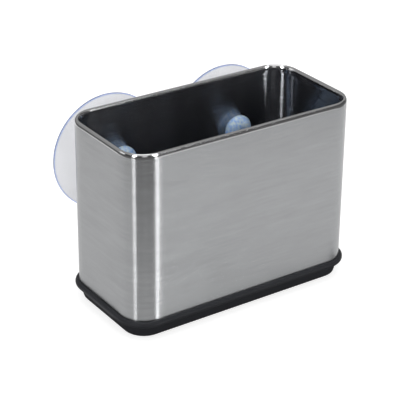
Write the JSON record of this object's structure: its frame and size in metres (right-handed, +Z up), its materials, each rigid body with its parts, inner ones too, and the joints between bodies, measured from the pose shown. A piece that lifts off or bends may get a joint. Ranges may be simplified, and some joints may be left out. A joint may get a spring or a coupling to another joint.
{
  "type": "sponge holder",
  "caption": "Open steel tub for a sponge on a moulded drain base, which sticks to the inside of a sink by suction cups and also stands by itself.",
  "frame": {"origin": "the middle of the place that the foot pads stand on", "axes": "+X along the long side towards the right-hand cup, +Y towards the suction cups and the wall they stick to, +Z up"},
  "size_m": [0.1442, 0.0819, 0.1054],
  "materials": {
    "steel": "fine horizontal brushing outside, bright rolled rim",
    "base_plastic": "black, satin",
    "pad_rubber": "soft, matt",
    "clear_vinyl": "clear soft vinyl with a faint blue tint, glossy"
  },
  "bodies": {
    "base": {"drain_base": "base_plastic", "foot_pad_front_left": "pad_rubber", "foot_pad_front_right": "pad_rubber", "foot_pad_back_left": "pad_rubber", "foot_pad_back_right": "pad_rubber"},
    "sleeve": {"steel_sleeve": "steel"},
    "left_cup": {"suction_cup_left": "clear_vinyl"},
    "right_cup": {"suction_cup_right": "clear_vinyl"}
  },
  "joints": [
    {"name": "sleeve_lift", "type": "slide", "parent": "base", "child": "sleeve", "axis": [0, 0, 1], "range_m": [0, 0.03]},
    {"name": "left_cup_turn", "type": "hinge", "parent": "sleeve", "child": "left_cup", "pos_m": [-0.0378, 0.0334, 0.072], "axis": [0, 1, 0], "continuous": true},
    {"name": "right_cup_turn", "type": "hinge", "parent": "sleeve", "child": "right_cup", "pos_m": [0.0378, 0.0334, 0.072], "axis": [0, 1, 0], "continuous": true}
  ]
}
